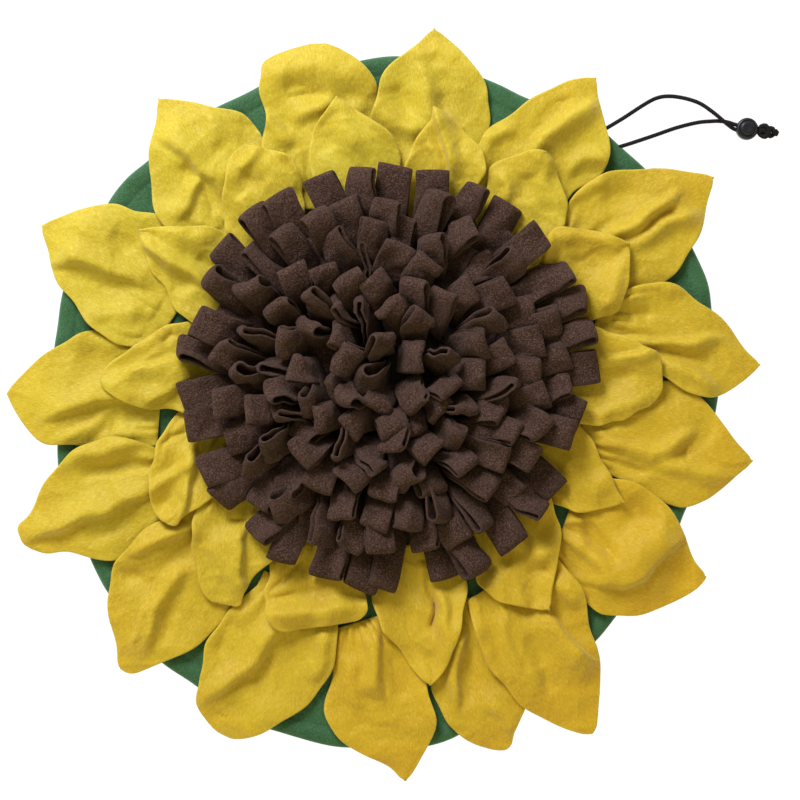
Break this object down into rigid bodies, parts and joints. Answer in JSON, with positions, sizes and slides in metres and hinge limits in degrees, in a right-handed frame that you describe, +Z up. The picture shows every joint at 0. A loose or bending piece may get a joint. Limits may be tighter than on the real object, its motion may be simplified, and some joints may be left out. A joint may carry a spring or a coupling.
{
  "type": "snuffle mat",
  "caption": "Round fleece snuffle mat like a sunflower: yellow petals laid in rings round a pile of brown fleece loops on a green base with a drawstring and cord lock.",
  "frame": {"origin": "on the underside of the base, near the middle of the mat, where it rests on the floor", "axes": "+Z up out of the mat, +Y to the top of the picture and +X to its right, where the cord lies"},
  "size_m": [0.5975, 0.5816, 0.0632],
  "materials": {
    "green_fleece": "matt brushed fleece",
    "yellow_fleece": "matt brushed fleece",
    "brown_fleece": "matt brushed fleece",
    "black_cord": "braided, slightly glossy",
    "black_plastic": "satin moulded"
  },
  "bodies": {
    "root": {"base_round": "green_fleece", "outer_petal_01": "yellow_fleece", "outer_petal_02": "yellow_fleece", "outer_petal_03": "yellow_fleece", "outer_petal_04": "yellow_fleece", "outer_petal_05": "yellow_fleece", "outer_petal_06": "yellow_fleece", "outer_petal_07": "yellow_fleece", "outer_petal_08": "yellow_fleece", "outer_petal_09": "yellow_fleece", "outer_petal_10": "yellow_fleece", "outer_petal_11": "yellow_fleece", "outer_petal_12": "yellow_fleece", "outer_petal_13": "yellow_fleece", "outer_petal_14": "yellow_fleece", "outer_petal_15": "yellow_fleece", "outer_petal_16": "yellow_fleece", "inner_petal_01": "yellow_fleece", "inner_petal_02": "yellow_fleece", "inner_petal_03": "yellow_fleece", "inner_petal_04": "yellow_fleece", "inner_petal_05": "yellow_fleece", "inner_petal_06": "yellow_fleece", "inner_petal_07": "yellow_fleece", "inner_petal_08": "yellow_fleece", "inner_petal_09": "yellow_fleece", "inner_petal_10": "yellow_fleece", "inner_petal_11": "yellow_fleece", "inner_petal_12": "yellow_fleece", "inner_petal_13": "yellow_fleece", "inner_petal_14": "yellow_fleece", "loop_pile": "brown_fleece", "cord_upper": "black_cord", "cord_lower": "black_cord", "cord_lock": "black_plastic", "cord_knot": "black_cord"}
  },
  "joints": []
}
